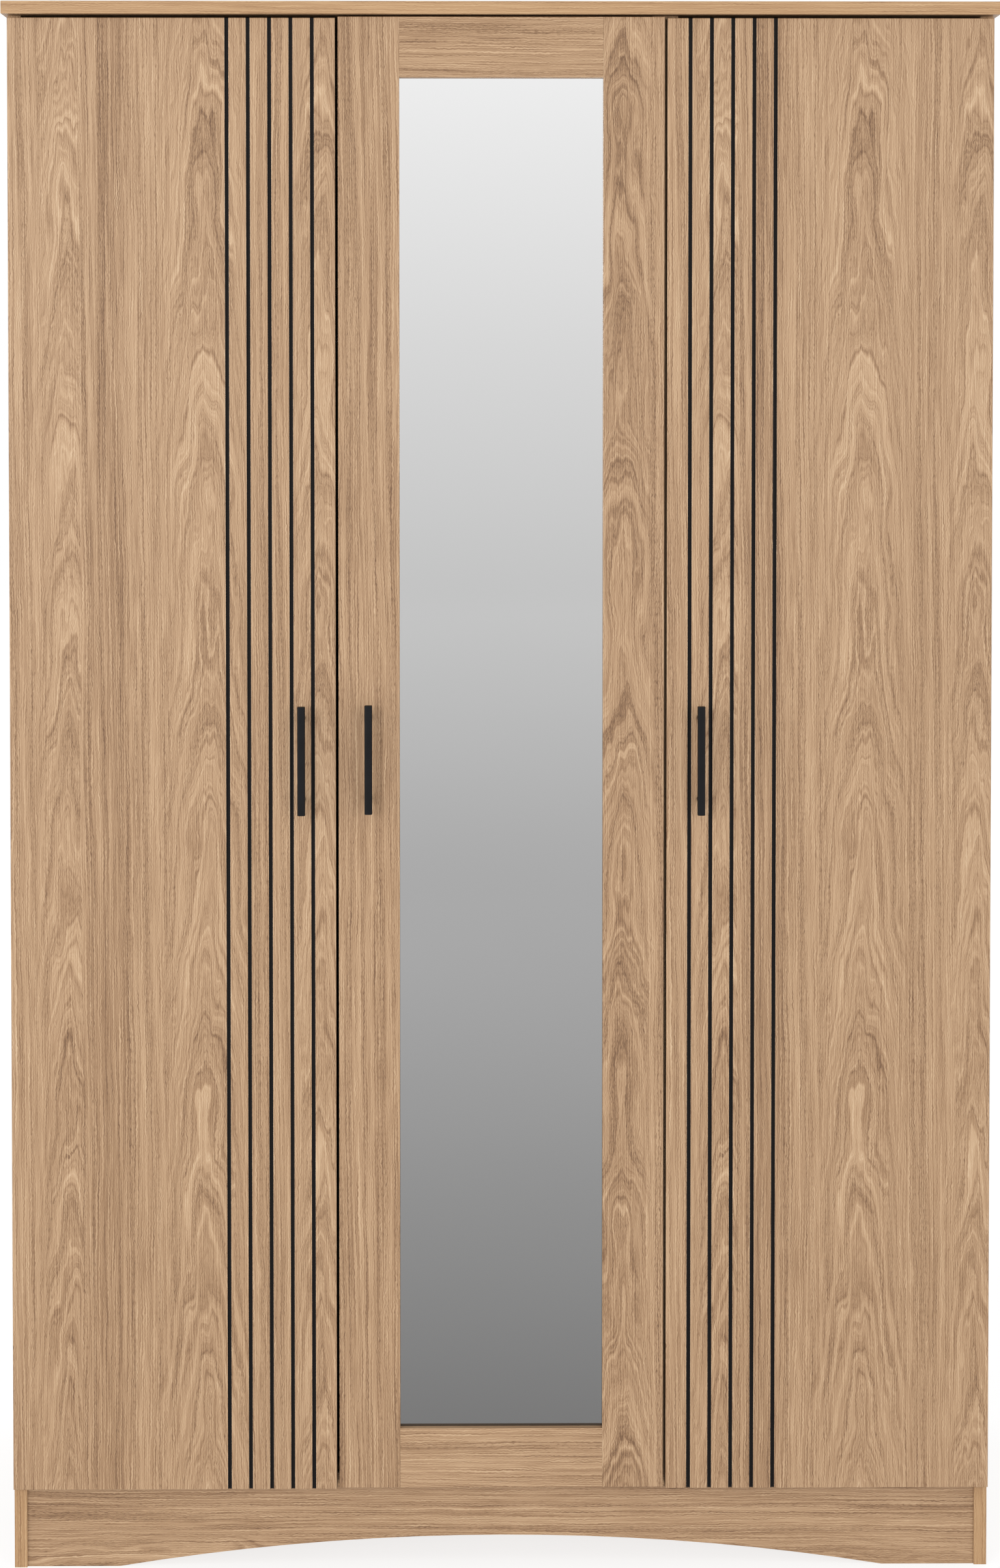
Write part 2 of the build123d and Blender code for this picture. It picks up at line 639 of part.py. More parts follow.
def hang(door, edge, inward, lift, upright, leaf):
    """Four hinges between an upright of the case and a door's hinge edge."""
    for height in HINGE_HEIGHTS:
        hinge = Hinge(edge, inward, height + lift)
        add("hinge_mounting_plates", make_plate(hinge))
        add("hinge_arms", make_arm(hinge))
        add("hinge_arm_screws", arm_screw(hinge))
        add(f"{door}_hinge_links", make_link(hinge))
        add(f"{door}_hinge_cups", make_cup(hinge))
        for pivot in (ARM_PIVOT, CUP_PIVOT):
            add(f"{door}_hinge_pins", bar(hinge.at(pivot, -CHEEK_OUTER), Z, 2 * CHEEK_OUTER, PIN_RADIUS))
        for off in (-PLATE_SCREW_OFFSET, PLATE_SCREW_OFFSET):
            seat = hinge.at((PLATE_FACE, PLATE_SCREW_DEPTH), off)
            screw("wood_screws", seat, X * -inward, upright)
        for off in (-EAR_SCREW_OFFSET, EAR_SCREW_OFFSET):
            seat = hinge.at((CUP_CENTRE, BOARD + EAR_THICKNESS), off)
            screw(f"{door}_cup_screws", seat, -Y, leaf)
        drill(leaf, bar(hinge.at((CUP_CENTRE, BOARD)), -Y, CUP_DEPTH + FIT, CUP_RADIUS + FIT))


# Handles


def make_handle(door, x, lift, leaf):
    """A slim bar on two posts, held by two screws from inside the door."""
    z = HANDLE_Z + lift
    front = DOOR_FACE - HANDLE_REACH
    half = HANDLE_WIDTH / 2
    span = (z - HANDLE_LENGTH / 2, z + HANDLE_LENGTH / 2)
    grip = block((x - half, x + half), (front, front + HANDLE_WIDTH), span)
    grip = fillet(grip.edges().filter_by(Axis.Z), HANDLE_ROUND)
    ends = grip.edges().group_by(Axis.Z)
    handle = fillet(ends[0] + ends[-1], HANDLE_END_ROUND)
    for sign in (-1, 1):
        foot = Vector(x, DOOR_FACE, z + sign * POST_SPACING / 2)
        handle += bar(foot, -Y, HANDLE_REACH - half, POST_RADIUS)
        handle -= bar(foot, -Y, HANDLE_SCREW_GRIP + 1.0, HANDLE_SCREW_RADIUS + FIT / 5)
        seat = foot + Y * BOARD
        head = bar(seat, Y, HANDLE_SCREW_HEAD_HEIGHT, HANDLE_SCREW_HEAD_RADIUS)
        head = fillet(head.edges().group_by(Axis.Y)[-1], 0.9)
        head_top = seat + Y * HANDLE_SCREW_HEAD_HEIGHT
        slot = Pos(*head_top) * (Box(0.9, 1.6, 4.6) + Box(4.6, 1.6, 0.9))
        shank = bar(seat, -Y, BOARD + HANDLE_SCREW_GRIP, HANDLE_SCREW_RADIUS)
        add(f"{door}_handle_screws", (head - slot + shank).solid())
        drill(leaf, bar(seat, -Y, BOARD, HANDLE_SCREW_RADIUS + 0.25))
    return handle.solid()


# Doors


def door_blank(left, bottom):
    """A plain door leaf with a softened front edge."""
    leaf = block((left, left + DOOR_WIDTH), (DOOR_FACE, DOOR_REAR), (bottom, bottom + DOOR_HEIGHT))
    return fillet(leaf.edges().group_by(Axis.Y)[0], EDGE_ROUND)


def make_grooved_door(left, inner_edge, away):
    """An outer door, grooved from top to bottom beside its handle edge."""
    leaf = door_blank(left, DOOR_BOTTOM)
    for number in range(GROOVE_COUNT):
        x = inner_edge + away * (FIRST_GROOVE + GROOVE_PITCH * number)
        span = (x - GROOVE_WIDTH / 2, x + GROOVE_WIDTH / 2)
        leaf -= block(span, (DOOR_FACE, DOOR_FACE + GROOVE_DEPTH), (DOOR_BOTTOM, DOOR_TOP))
    return leaf


def middle_door_parts():
    """The framed middle door: two stiles, two rails, the mirror and its backing."""
    low = DOOR_BOTTOM + MIDDLE_DOOR_LIFT
    high = low + DOOR_HEIGHT
    left, right = -MIDDLE_HALF, MIDDLE_HALF
    open_x = (left + STILE_WIDTH, right - STILE_WIDTH)
    open_z = (low + RAIL_HEIGHT, high - RAIL_HEIGHT)
    behind = (DOOR_FACE + MIRROR_RECESS, DOOR_REAR)
    rebate_x = (open_x[0] - REBATE_WIDTH, open_x[1] + REBATE_WIDTH)
    rebate_z = (open_z[0] - REBATE_WIDTH, open_z[1] + REBATE_WIDTH)
    leaf = door_blank(left, low) - block(open_x, (DOOR_FACE, DOOR_REAR), open_z)
    frame = leaf - block(rebate_x, behind, rebate_z)
    depth = (DOOR_FACE, DOOR_REAR)
    rail_x = (open_x[0] + RAIL_PLAY, open_x[1] - RAIL_PLAY)
    parts = {
        "middle_door_left_stile": frame & block((left, open_x[0]), depth, (low, high)),
        "middle_door_right_stile": frame & block((open_x[1], right), depth, (low, high)),
        "middle_door_bottom_rail": frame & block(rail_x, depth, (low, open_z[0])),
        "middle_door_top_rail": frame & block(rail_x, depth, (open_z[1], high)),
    }
    pane_x = (rebate_x[0] + MIRROR_PLAY, rebate_x[1] - MIRROR_PLAY)
    pane_z = (rebate_z[0] + MIRROR_PLAY, rebate_z[1] - MIRROR_PLAY)
    pane_back = behind[0] + MIRROR_THICKNESS
    parts["mirror_glass"] = block(pane_x, (behind[0], pane_back), pane_z)
    parts["mirror_backing"] = block(pane_x, (pane_back, DOOR_REAR), pane_z)
    rails = (
        ("middle_door_bottom_rail", low),
        ("middle_door_top_rail", open_z[1] + REBATE_WIDTH),
    )
    for rail, bottom in rails:
        for sign, stile in ((-1, "middle_door_left_stile"), (1, "middle_door_right_stile")):
            for rise in FRAME_DOWEL_RISES:
                edge = Vector(sign * open_x[1], DOOR_FACE + BOARD / 2, bottom + rise)
                frame_dowel(edge, X * sign, rail, stile)
    return parts


def frame_dowel(edge, along, rail, stile):
    """A thin dowel between a rail's end and a stile's edge."""
    start = edge - along * (FRAME_DOWEL_LENGTH / 2)
    add("middle_door_dowels", bar(start, along, FRAME_DOWEL_LENGTH, FRAME_DOWEL_RADIUS))
    hole = bar(start - along * FIT, along, FRAME_DOWEL_LENGTH + 2 * FIT, FRAME_DOWEL_RADIUS + FIT)
    drill(rail, hole)
    drill(stile, hole)


def build_nodes():
    """Every node of the wardrobe by name."""
    nodes = case_boards()
    for name in ("back_panel_left", "back_panel_middle", "back_panel_right"):
        nodes[name] = back_panel(name)
    nodes["hanging_rail"] = make_rail()
    nodes["left_door_panel"] = make_grooved_door(-DOORS_HALF, -MIDDLE_HALF - DOOR_GAP, -1)
    nodes["right_door_panel"] = make_grooved_door(MIDDLE_HALF + DOOR_GAP, MIDDLE_HALF + DOOR_GAP, 1)
    nodes.update(middle_door_parts())
    case_joints()
    make_shelf_pins()
    make_rail_sockets()
    make_joiner()
    make_nails()
    make_wall_brackets()
    batten_screws()
    make_bumpers()
    hang("left", -DOORS_HALF, 1, 0.0, "left_side_panel", "left_door_panel")
    hang("middle", MIDDLE_HALF, -1, MIDDLE_DOOR_LIFT, "partition_hinge_batten", "middle_door_right_stile")
    hang("right", DOORS_HALF, -1, 0.0, "right_side_panel", "right_door_panel")
    dowel_brace()
    slat = MIDDLE_HALF + DOOR_GAP + SLAT_HANDLE_INSET
    stile = -MIDDLE_HALF + STILE_WIDTH / 2
    nodes["left_handle"] = make_handle("left", -slat, 0.0, "left_door_panel")
    nodes["middle_handle"] = make_handle("middle", stile, MIDDLE_DOOR_LIFT, "middle_door_left_stile")
    nodes["right_handle"] = make_handle("right", slat, 0.0, "right_door_panel")
    for name in list(nodes):
        nodes[name] = finished(name, nodes[name])
    for name, solids in loose.items():
        nodes[name] = Compound(solids)
    return nodes


def dowel_brace():
    """Dowels between the centre brace and the two plinth boards."""
    front = Vector(0, plinth_middle(1) + BOARD / 2, 72.0)
    rear = Vector(0, plinth_middle(-1) - BOARD / 2, 72.0)
    dowel("wooden_dowels", front, -Y, "plinth_centre_brace", "plinth_front")
    dowel("wooden_dowels", rear, Y, "plinth_centre_brace", "plinth_rear")


if __name__ == "__main__":
    os.makedirs("parts", exist_ok=True)
    for node, shape in build_nodes().items():
        export_step(shape, f"parts/{node}.step")
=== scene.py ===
import math
from collections import namedtuple

import bpy
from mathutils import Euler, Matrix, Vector


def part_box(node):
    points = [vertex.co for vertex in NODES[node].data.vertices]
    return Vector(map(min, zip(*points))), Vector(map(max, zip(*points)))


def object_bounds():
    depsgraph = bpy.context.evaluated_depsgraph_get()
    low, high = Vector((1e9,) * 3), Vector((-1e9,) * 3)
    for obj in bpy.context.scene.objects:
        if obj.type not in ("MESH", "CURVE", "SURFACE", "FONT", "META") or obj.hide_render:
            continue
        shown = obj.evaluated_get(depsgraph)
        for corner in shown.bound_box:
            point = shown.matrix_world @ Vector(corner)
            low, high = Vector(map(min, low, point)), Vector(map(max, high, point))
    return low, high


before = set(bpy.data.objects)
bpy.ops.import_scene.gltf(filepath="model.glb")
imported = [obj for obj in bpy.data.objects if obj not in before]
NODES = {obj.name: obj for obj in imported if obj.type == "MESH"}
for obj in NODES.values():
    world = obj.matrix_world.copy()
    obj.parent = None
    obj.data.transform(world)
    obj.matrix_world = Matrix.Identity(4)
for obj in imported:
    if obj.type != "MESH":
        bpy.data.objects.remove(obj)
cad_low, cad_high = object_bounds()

# A wardrobe with two grooved outer doors and a mirrored middle door. Every CAD node keeps its
# shape here and gets its materials. Metres, in the CAD model's frame: the doors face -Y.

# The doors, closed
left_low, left_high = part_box("left_door_panel")
right_low, right_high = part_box("right_door_panel")
DOOR_OUT = right_high.x
DOOR_IN = right_low.x
FACE = left_low.y
GAP_REACH = 0.004
BEVEL_REACH = 0.002
SLACK = 0.0001

# The five grooves of an outer door, counted from its free edge
GROOVE_DEPTH = 0.003
GROOVE_WIDTH = 0.004
GROOVE_PITCH = 0.025
FIRST_GROOVE = 0.027
GROOVE_COUNT = 5
LEFT_GROOVES = (left_high.x - FIRST_GROOVE, -GROOVE_PITCH)
RIGHT_GROOVES = (right_low.x + FIRST_GROOVE, GROOVE_PITCH)


def srgb(red, green, blue):
    """A linear colour from display values of 0 to 255."""
    def linear(value):
        share = value / 255
        return share / 12.92 if share <= 0.04045 else ((share + 0.055) / 1.055) ** 2.4
    return (linear(red), linear(green), linear(blue), 1.0)


def grey(value):
    return srgb(value, value, value)


class Shader:
    """One material's node tree, with short calls for the nodes it is made of."""

    SEED_STEP = 7.31
    MIX_FIRST, MIX_SECOND, MIX_RESULT = 6, 7, 2  # a Mix node's colour sockets

    def __init__(self, name):
        self.material = bpy.data.materials.new(name)
        self.material.use_nodes = True
        self.tree = self.material.node_tree
        self.tree.nodes.clear()
        self.out = self.node("ShaderNodeOutputMaterial")
        self.place = self.node("ShaderNodeTexCoord").outputs["Object"]
        split = self.node("ShaderNodeSeparateXYZ", {0: self.place})
        self.axis = {"x": split.outputs[0], "y": split.outputs[1], "z": split.outputs[2]}

    def node(self, kind, inputs=None, **settings):
        made = self.tree.nodes.new(kind)
        for key, value in settings.items():
            setattr(made, key, value)
        for key, value in (inputs or {}).items():
            self.feed(made.inputs[key], value)
        return made

    def feed(self, socket, value):
        if isinstance(value, bpy.types.NodeSocket):
            self.tree.links.new(value, socket)
        else:
            socket.default_value = value

    def math(self, operation, *values, clamp=False):
        made = self.node("ShaderNodeMath", operation=operation, use_clamp=clamp)
        for index, value in enumerate(values):
            self.feed(made.inputs[index], value)
        return made.outputs[0]

    def scaled(self, value, factor, offset=0.0):
        return self.math("MULTIPLY_ADD", value, factor, offset)

    def noise(self, x, y, seed, detail=1.0, roughness=0.5):
        """Noise on a plane, whose features are about one unit of x and y."""
        apart = self.math("ADD", y, self.SEED_STEP * seed)
        spot = self.node("ShaderNodeCombineXYZ", {0: x, 1: apart})
        inputs = {"Vector": spot.outputs[0], "Scale": 1.0, "Detail": detail, "Roughness": roughness}
        return self.node("ShaderNodeTexNoise", inputs, noise_dimensions="2D").outputs["Fac"]

    def cells(self, x, y, per_x, per_y, seed, detail=1.0, roughness=0.5):
        """Noise on a plane with this many features per metre of x and of y."""
        return self.noise(self.scaled(x, per_x), self.scaled(y, per_y), seed, detail, roughness)

    def specks(self, per_metre, detail):
        """Noise through the solid."""
        inputs = {"Vector": self.place, "Scale": per_metre, "Detail": detail}
        return self.node("ShaderNodeTexNoise", inputs).outputs["Fac"]

    def swing(self, noise, amount):
        """Noise turned into an offset of up to half the amount either way."""
        return self.scaled(noise, amount, -0.5 * amount)

    def hump(self, value, centre, width):
        """1 at the centre, falling to about a third a width away."""
        away = self.scaled(value, 1 / width, -centre / width)
        return self.math("EXPONENT", self.scaled(self.math("MULTIPLY", away, away), -1.0))

    def between(self, first, second, share):
        """The first value, moved towards the second by the share."""
        return self.math("MULTIPLY_ADD", self.math("SUBTRACT", second, first), share, first)

    def ramp(self, value, stops):
        made = self.node("ShaderNodeValToRGB", {0: value})
        elements = made.color_ramp.elements
        while len(elements) < len(stops):
            elements.new(0.5)
        for element, (position, colour) in zip(elements, stops):
            element.position = position
            element.color = colour
        return made.outputs[0]

    def mix(self, factor, first, second):
        inputs = {0: factor, self.MIX_FIRST: first, self.MIX_SECOND: second}
        made = self.node("ShaderNodeMix", data_type="RGBA")
        for index, value in inputs.items():
            self.feed(made.inputs[index], value)
        return made.outputs[self.MIX_RESULT]

    def bump(self, height, distance, strength=1.0):
        inputs = {"Height": height, "Strength": strength, "Distance": distance}
        return self.node("ShaderNodeBump", inputs).outputs[0]

    def surface(self, **values):
        """Finish with a Principled surface. Names use _ for a space."""
        made = self.node("ShaderNodeBsdfPrincipled")
        for key, value in values.items():
            self.feed(made.inputs[key.replace("_", " ")], value)
        self.tree.links.new(made.outputs[0], self.out.inputs["Surface"])
        return self.material


# Oak-pattern foil. u runs across the grain and v along it.

WOOD_STOPS = (
    (0.0, srgb(103, 72, 46)),
    (0.28, srgb(137, 104, 72)),
    (0.52, srgb(161, 128, 95)),
    (0.78, srgb(181, 149, 115)),
    (1.0, srgb(195, 167, 134)),
)
EDGE_STOPS = (
    (0.0, srgb(127, 92, 58)),
    (0.4, srgb(160, 123, 84)),
    (0.7, srgb(175, 139, 99)),
    (1.0, srgb(188, 155, 116)),
)
GROOVE_PAINT = srgb(15, 11, 9)

# Offsets that keep the noises of one foil apart
BROAD_WARP, FINE_WARP, GROWTH, GRAIN, THREADS, PORES, CLOUDS, RAG, FRAY, RIPPLE, COMB = range(11)
ARCHES = 30.0
NEXT_STAVE = 3.1

# How far lines stray across the grain, in metres
BROAD_STRAY = 0.010
FINE_STRAY = 0.0026
RAG_STRAY = 0.0018
RIPPLE_STRAY = 0.020
LEAN = 0.008  # for each metre along

# Fine parallel lines, and the round tip of an arch
LINE_PITCH = 0.0023
LINE_DRIFT = 14.0
ARCH_TIP = 0.012

# How much each layer lightens or darkens the print, as shares of the colour ramp
MID_TONE = 0.55
GRAIN_WEIGHT = 1.08
THREADS_WEIGHT = 0.50
CLOUDS_WEIGHT = 0.11
LINES_WEIGHT = 0.13
STRAIGHT_SHARE = 0.8  # of the figure, in straight grain
ARCH_SHARE = 0.6  # of the figure, added in an arch

PORE_DEPTH = 0.00012

# A stave starts at a place across the board. Its arches have a centre, a reach to either side,
# a rise in metres across for each metre along, and a wander.
Stave = namedtuple("Stave", "start centre reach rise wander")
Streak = namedtuple("Streak", "centre width strength")
WHOLE = -1.0  # a stave start that is left of every board


def comb(s, u, v, seed):
    """Close, ragged lines a little over two millimetres apart."""
    drift = s.swing(s.cells(u, v, 90.0, 5.0, seed + COMB), LINE_DRIFT)
    return s.math("SINE", s.math("MULTIPLY_ADD", u, 2 * math.pi / LINE_PITCH, drift))


def ring_field(s, u, v, staves, seed):
    """Distance across the growth rings, and how far the rings are bent into arches."""
    field, bent = None, None
    ripple = s.swing(s.cells(u, v, 48.0, 7.0, seed + RIPPLE, detail=2.0), RIPPLE_STRAY)
    for number, stave in enumerate(staves):
        away = s.scaled(u, 1.0, -stave.centre)
        away = s.math("SQRT", s.math("MULTIPLY_ADD", away, away, ARCH_TIP ** 2))
        wave = s.noise(s.scaled(v, 4.2), 0.0, seed + NEXT_STAVE * number, detail=2.0)
        climb = s.math("MULTIPLY_ADD", v, stave.rise, s.swing(wave, stave.wander))
        away = s.math("ADD", climb, s.math("ADD", away, ripple))
        near = s.hump(u, stave.centre, stave.reach)
        if field is None:
            field, bent = away, near
        else:
            past = s.math("GREATER_THAN", u, stave.start)
            field, bent = s.between(field, away, past), s.between(bent, near, past)
    bent = s.scaled(bent, 1.6, -0.25)
    return field, s.math("MINIMUM", s.math("MAXIMUM", bent, 0.0), 1.0)


def printed_lines(s, field, v, seed):
    """Growth bands and the finer grain between them."""
    growth = s.cells(field, v, 105.0, 0.9, seed + GROWTH)
    grain = s.cells(field, v, 430.0, 3.6, seed + GRAIN, detail=3.0, roughness=0.62)
    return growth, grain


def groove_paint(s, first, step):
    """1 where black groove paint has crept onto the door's front beside a groove."""
    turns = s.scaled(s.axis["x"], 1 / step, -first / step)
    nearest = s.math("ROUND", turns)
    nearest = s.math("MINIMUM", s.math("MAXIMUM", nearest, 0.0), GROOVE_COUNT - 1.0)
    away = s.math("ABSOLUTE", s.scaled(s.math("SUBTRACT", turns, nearest), step))
    ragged = s.noise(s.scaled(s.axis["z"], 900.0), s.scaled(turns, 3.0), 2.0, detail=2.0)
    limit = s.scaled(s.swing(ragged, 0.0005), 1.0, GROOVE_WIDTH / 2 + 0.0003)
    front = s.math("LESS_THAN", s.axis["y"], FACE + GROOVE_DEPTH)
    return s.math("MULTIPLY", s.math("LESS_THAN", away, limit), front)


def oak(name, across, along, u_start=0.0, v_start=0.0, staves=(), streaks=(), seed=1.0,
        figure=0.31, pores=0.30, tone=0.0, grooves=None, stops=WOOD_STOPS):
    """Printed oak: growth bands, fine fibres, short dark pores, and broad brown streaks."""
    s = Shader(name)
    u = s.math("ADD", s.axis[across[0]], s.axis[across[1]])
    u = s.scaled(u, 1.0, -u_start)
    v = s.scaled(s.axis[along], 1.0, -v_start)
    broad_warp = s.cells(u, v, 14.0, 2.2, seed + BROAD_WARP)
    fine_warp = s.cells(u, v, 70.0, 16.0, seed + FINE_WARP)
    warp = s.math("ADD", s.swing(broad_warp, BROAD_STRAY), s.swing(fine_warp, FINE_STRAY))
    u = s.math("ADD", u, warp)
    u = s.math("ADD", u, s.swing(s.cells(u, v, 260.0, 170.0, seed + RAG), RAG_STRAY))

    growth, grain = printed_lines(s, s.math("MULTIPLY_ADD", v, LEAN, u), v, seed)
    if staves:
        field, bent = ring_field(s, u, v, staves, seed)
        arched_growth, arched_grain = printed_lines(s, field, v, seed + ARCHES)
        growth, grain = s.between(growth, arched_growth, bent), s.between(grain, arched_grain, bent)
        figure = s.scaled(bent, ARCH_SHARE * figure, STRAIGHT_SHARE * figure)
    threads = s.cells(u, v, 1050.0, 22.0, seed + THREADS)
    dashes = s.cells(u, v, 2300.0, 150.0, seed + PORES)
    lines = comb(s, u, v, seed)
    clouds = s.cells(u, v, 13.0, 0.9, seed + CLOUDS)

    # Pores crowd in the darker half of each growth band
    crowded = s.math("MULTIPLY_ADD", growth, -4.0, 2.35, clamp=True)
    pore = s.math("MULTIPLY", s.math("MULTIPLY_ADD", dashes, 8.0, -4.5, clamp=True), crowded)
    value = s.math("MULTIPLY_ADD", s.scaled(growth, 1.0, -0.5), figure, MID_TONE + tone)
    layers = ((grain, GRAIN_WEIGHT), (threads, THREADS_WEIGHT), (clouds, CLOUDS_WEIGHT))
    for layer, weight in layers:
        value = s.math("ADD", value, s.swing(layer, weight))
    value = s.math("MULTIPLY_ADD", lines, LINES_WEIGHT, value)
    value = s.math("MULTIPLY_ADD", pore, -pores, value)
    for streak in streaks:
        dark = s.math("MULTIPLY", s.hump(u, streak.centre, streak.width), streak.strength)
        fray = s.scaled(s.noise(s.scaled(u, 220.0), v, seed + FRAY), 1.8, 0.1)
        value = s.math("SUBTRACT", value, s.math("MULTIPLY", dark, fray))

    colour = s.ramp(value, stops)
    if grooves:
        colour = s.mix(groove_paint(s, *grooves), colour, GROOVE_PAINT)
    height = s.math("MULTIPLY_ADD", pore, -1.0, s.scaled(lines, 0.25))
    return s.surface(
        Base_Color=colour,
        Roughness=s.scaled(value, -0.12, 0.56),
        Normal=s.bump(height, PORE_DEPTH, 0.7),
    )


# Other materials


def groove_black():
    """Brushed black paint in the routed grooves."""
    s = Shader("groove_black")
    brushed = s.cells(s.axis["x"], s.axis["z"], 900.0, 40.0, seed=3.0, detail=2.0)
    return s.surface(
        Base_Color=s.ramp(brushed, ((0.3, srgb(7, 5, 4)), (0.75, srgb(22, 16, 13)))),
        Roughness=s.scaled(brushed, 0.2, 0.5),
        Specular_IOR_Level=0.2,
        Normal=s.bump(brushed, 0.0001),
    )


def painted_gap_shade():
    """Painted shade: a dark band on the long edges where two doors meet, standing in for the shade
    in the gap between them.
    """
    s = Shader("painted_gap_shade")
    grain = s.cells(s.axis["y"], s.axis["z"], 900.0, 30.0, seed=8.0, detail=2.0)
    return s.surface(
        Base_Color=s.ramp(grain, ((0.3, srgb(44, 30, 20)), (0.7, srgb(60, 43, 30)))),
        Roughness=0.6,
        Specular_IOR_Level=0.2,
        Normal=s.bump(grain, 0.00005),
    )


def hardboard():
    """The unprinted outer side of the back panels."""
    s = Shader("hardboard")
    fleck = s.specks(420.0, 4.0)
    cloud = s.specks(9.0, 2.0)
    value = s.math("MULTIPLY_ADD", cloud, 0.12, s.scaled(fleck, 0.88))
    stops = ((0.3, srgb(112, 84, 60)), (0.5, srgb(140, 108, 80)), (0.7, srgb(162, 130, 100)))
    return s.surface(
        Base_Color=s.ramp(value, stops),
        Roughness=0.72,
        Normal=s.bump(fleck, 0.0002, 0.6),
    )


def mirror():
    """Silvered glass with a painted reflection: its colour darkens from the top towards the lower
    edge.
    """
    s = Shader("mirror")
    low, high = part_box("mirror_glass")
    rise = s.scaled(s.axis["z"], 1 / (high.z - low.z), -low.z / (high.z - low.z))
    # Painted reflection: grey levels from the bottom to the top of the glass, a studio gradient
    # painted into the mirror's colour.
    painted_reflection_levels = (119, 142, 164, 192, 215, 238)
    stops = [(index / (len(painted_reflection_levels) - 1), grey(level)) for index, level in enumerate(painted_reflection_levels)]
    return s.surface(Base_Color=s.ramp(rise, stops), Metallic=1.0, Roughness=0.06)


def satin_black():
    """Powder-coated handles."""
    s = Shader("satin_black")
    grain = s.specks(2600.0, 3.0)
    worn = s.specks(60.0, 2.0)
    return s.surface(
        Base_Color=s.ramp(worn, ((0.3, srgb(8, 8, 10)), (0.7, srgb(13, 13, 16)))),
        Roughness=s.scaled(worn, 0.14, 0.28),
        Specular_IOR_Level=0.16,
        Normal=s.bump(grain, 0.00006, 0.5),
    )


def metal(name, colour, rough, brushed=0.0):
    """Plated or polished metal with faint machining lines."""
    s = Shader(name)
    lines = s.cells(s.axis["z"], s.axis["x"], 1800.0, 60.0, seed=5.0, detail=2.0)
    in_lines = tuple(0.72 * part for part in colour[:3]) + (1.0,)
    return s.surface(
        Base_Color=s.mix(s.scaled(lines, 0.5), colour, in_lines),
        Metallic=1.0,
        Roughness=s.scaled(lines, 0.16, rough),
        Normal=s.bump(lines, 0.00005, brushed),
    )


def plain(name, dark, light, rough, per_metre):
    """Moulded plastic, rubber or raw wood with a fine uneven surface."""
    s = Shader(name)
    grain = s.specks(per_metre, 3.0)
    return s.surface(
        Base_Color=s.ramp(grain, ((0.3, dark), (0.7, light))),
        Roughness=s.scaled(grain, 0.15, rough),
        Normal=s.bump(grain, 0.0001, 0.5),
    )


# Putting materials on nodes

# The least part of a face's normal along an axis, if the face counts as looking that way
LOOKS_ALONG = 0.9
BROAD_FACE = 0.8


def paint(names, face, *others):
    """Give nodes one material, and others, each with a test, on the faces that pass it."""
    for name in names:
        mesh = NODES[name].data
        mesh.materials.clear()
        mesh.materials.append(face)
        for other, _ in others:
            mesh.materials.append(other)
        for polygon in mesh.polygons:
            passed = [slot for slot, (_, test) in enumerate(others, 1) if test(polygon)]
            polygon.material_index = passed[0] if passed else 0


def off_axis(axis):
    """A test for faces that don't look along an axis: a board's narrow edges."""
    return lambda polygon: abs(polygon.normal[axis]) < BROAD_FACE


def in_groove(polygon):
    """True for the walls and floor of a door's grooves."""
    behind = polygon.center.y - FACE
    if behind > GROOVE_DEPTH + SLACK or behind < 3 * SLACK:
        return False
    if abs(polygon.normal.y) > LOOKS_ALONG:
        return True
    inner = DOOR_IN + BEVEL_REACH < abs(polygon.center.x) < DOOR_OUT - BEVEL_REACH
    return abs(polygon.normal.x) > LOOKS_ALONG and inner


def looks_back(polygon):
    """True for faces within 60 degrees of straight back."""
    return polygon.normal.y > math.cos(math.radians(60))


def beside_gap(polygon):
    """True for the long edges that the doors turn to each other across a gap, which get painted
    shade.
    """
    near = abs(abs(polygon.center.x) - DOOR_IN) < GAP_REACH
    return abs(polygon.normal.x) > LOOKS_ALONG and near


# The outer doors' foil: a half figure, a brown streak, straight lines, a cathedral figure and
# a second one near the right edge. Both doors have the same print, measured from the left edge.
DOOR_STAVES = (
    Stave(0.0, 0.070, 0.036, 0.13, 0.02),
    Stave(0.083, 0.232, 0.052, 0.12, 0.03),
    Stave(0.305, 0.366, 0.030, 0.12, 0.03),
)
DOOR_STREAKS = (
    Streak(0.112, 0.022, 0.13),
    Streak(0.131, 0.007, 0.08),
    Streak(0.30, 0.02, 0.03),
    Streak(0.02, 0.03, 0.02),
)
black = groove_black()
# The long door edges beside the gaps are painted dark, as painted shade for the shaded gap between
# closed doors.
gap_shade = painted_gap_shade()
OUTER_DOORS = (("left", left_low.x, LEFT_GROOVES), ("right", right_low.x, RIGHT_GROOVES))
for side, left_edge, grooves in OUTER_DOORS:
    foil = oak(f"oak_{side}_door", "xy", "z", left_edge + FACE, 0.0, DOOR_STAVES, DOOR_STREAKS,
               grooves=grooves)
    paint([f"{side}_door_panel"], foil, (black, in_groove), (gap_shade, beside_gap))

# The middle door's frame
stile_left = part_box("middle_door_left_stile")[0].x
paint(
    ["middle_door_left_stile"],
    oak("oak_left_stile", "xy", "z", stile_left + FACE, seed=4.0, figure=0.3, tone=-0.04),
    (gap_shade, beside_gap),
)
stile_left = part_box("middle_door_right_stile")[0].x
RIGHT_STILE = (Stave(WHOLE, 0.024, 0.036, 0.13, 0.05),)
paint(
    ["middle_door_right_stile"],
    oak("oak_right_stile", "xy", "z", stile_left + FACE, 0.0, RIGHT_STILE,
        (Streak(0.02, 0.02, 0.10),), seed=6.0, figure=0.42, pores=0.42),
    (gap_shade, beside_gap),
)
paint(
    ["middle_door_top_rail", "middle_door_bottom_rail"],
    oak("oak_rail", "zy", "x", 0.0, -0.3, seed=9.0, figure=0.2, tone=-0.03),
)
paint(["mirror_glass"], mirror())

